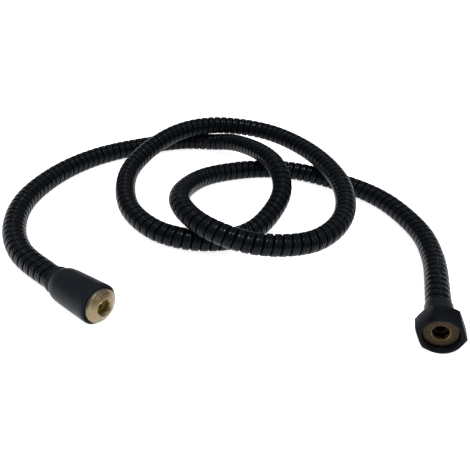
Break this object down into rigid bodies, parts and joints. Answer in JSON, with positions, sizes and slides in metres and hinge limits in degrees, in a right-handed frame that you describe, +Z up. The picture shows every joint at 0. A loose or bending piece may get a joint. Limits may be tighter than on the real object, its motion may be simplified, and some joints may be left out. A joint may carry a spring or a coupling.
{
  "type": "shower hose",
  "caption": "Flexible spiral-armoured metal shower hose in matt black, lying in loose loops, with a hexagonal union nut at one end and a long cone nut at the other.",
  "frame": {"origin": "on the surface the hose lies on, under the middle of the two end fittings' bounding box", "axes": "+X from the cone nut's side towards the hex nut's side, +Y from the fittings towards the loops of hose, +Z up; the hex nut's mouth faces -Y"},
  "size_m": [0.2928, 0.2625, 0.0303],
  "materials": {
    "black_steel": "matt black coated steel strip, faint blue sheen",
    "black_nut": "satin black coated brass",
    "turned_brass": "plain turned brass, dull, fine turning rings",
    "tube_rubber": "smooth black rubber",
    "nylon": "natural white nylon"
  },
  "bodies": {
    "hose": {"spiral_armour": "black_steel", "inner_tube": "tube_rubber", "nut_nipple": "turned_brass", "nut_ferrule": "black_steel", "nut_end_bush": "nylon", "nut_tail_o_ring": "tube_rubber", "cone_nipple": "turned_brass", "cone_ferrule": "black_steel", "cone_end_bush": "nylon", "cone_tail_o_ring": "tube_rubber"},
    "nut_washer": {"nut_thrust_washer": "nylon"},
    "nut": {"hex_nut": "black_nut"},
    "cone_washer": {"cone_thrust_washer": "nylon"},
    "cone": {"cone_nut": "black_nut"}
  },
  "joints": [
    {"name": "hex_nut_slide", "type": "slide", "parent": "hose", "child": "nut_washer", "axis": [0, -1, 0], "range_m": [-0.012, 0.0022]},
    {"name": "hex_nut_spin", "type": "hinge", "parent": "nut_washer", "child": "nut", "pos_m": [0.0967, 0.0112, 0.0115], "axis": [0, -1, 0], "continuous": true},
    {"name": "cone_nut_slide", "type": "slide", "parent": "hose", "child": "cone_washer", "axis": [0.9288, -0.3677, 0.0454], "range_m": [0, 0.0087]},
    {"name": "cone_nut_spin", "type": "hinge", "parent": "cone_washer", "child": "cone", "pos_m": [-0.0754, -0.0252, 0.01125], "axis": [0.9288, -0.3677, 0.0454], "continuous": true}
  ]
}
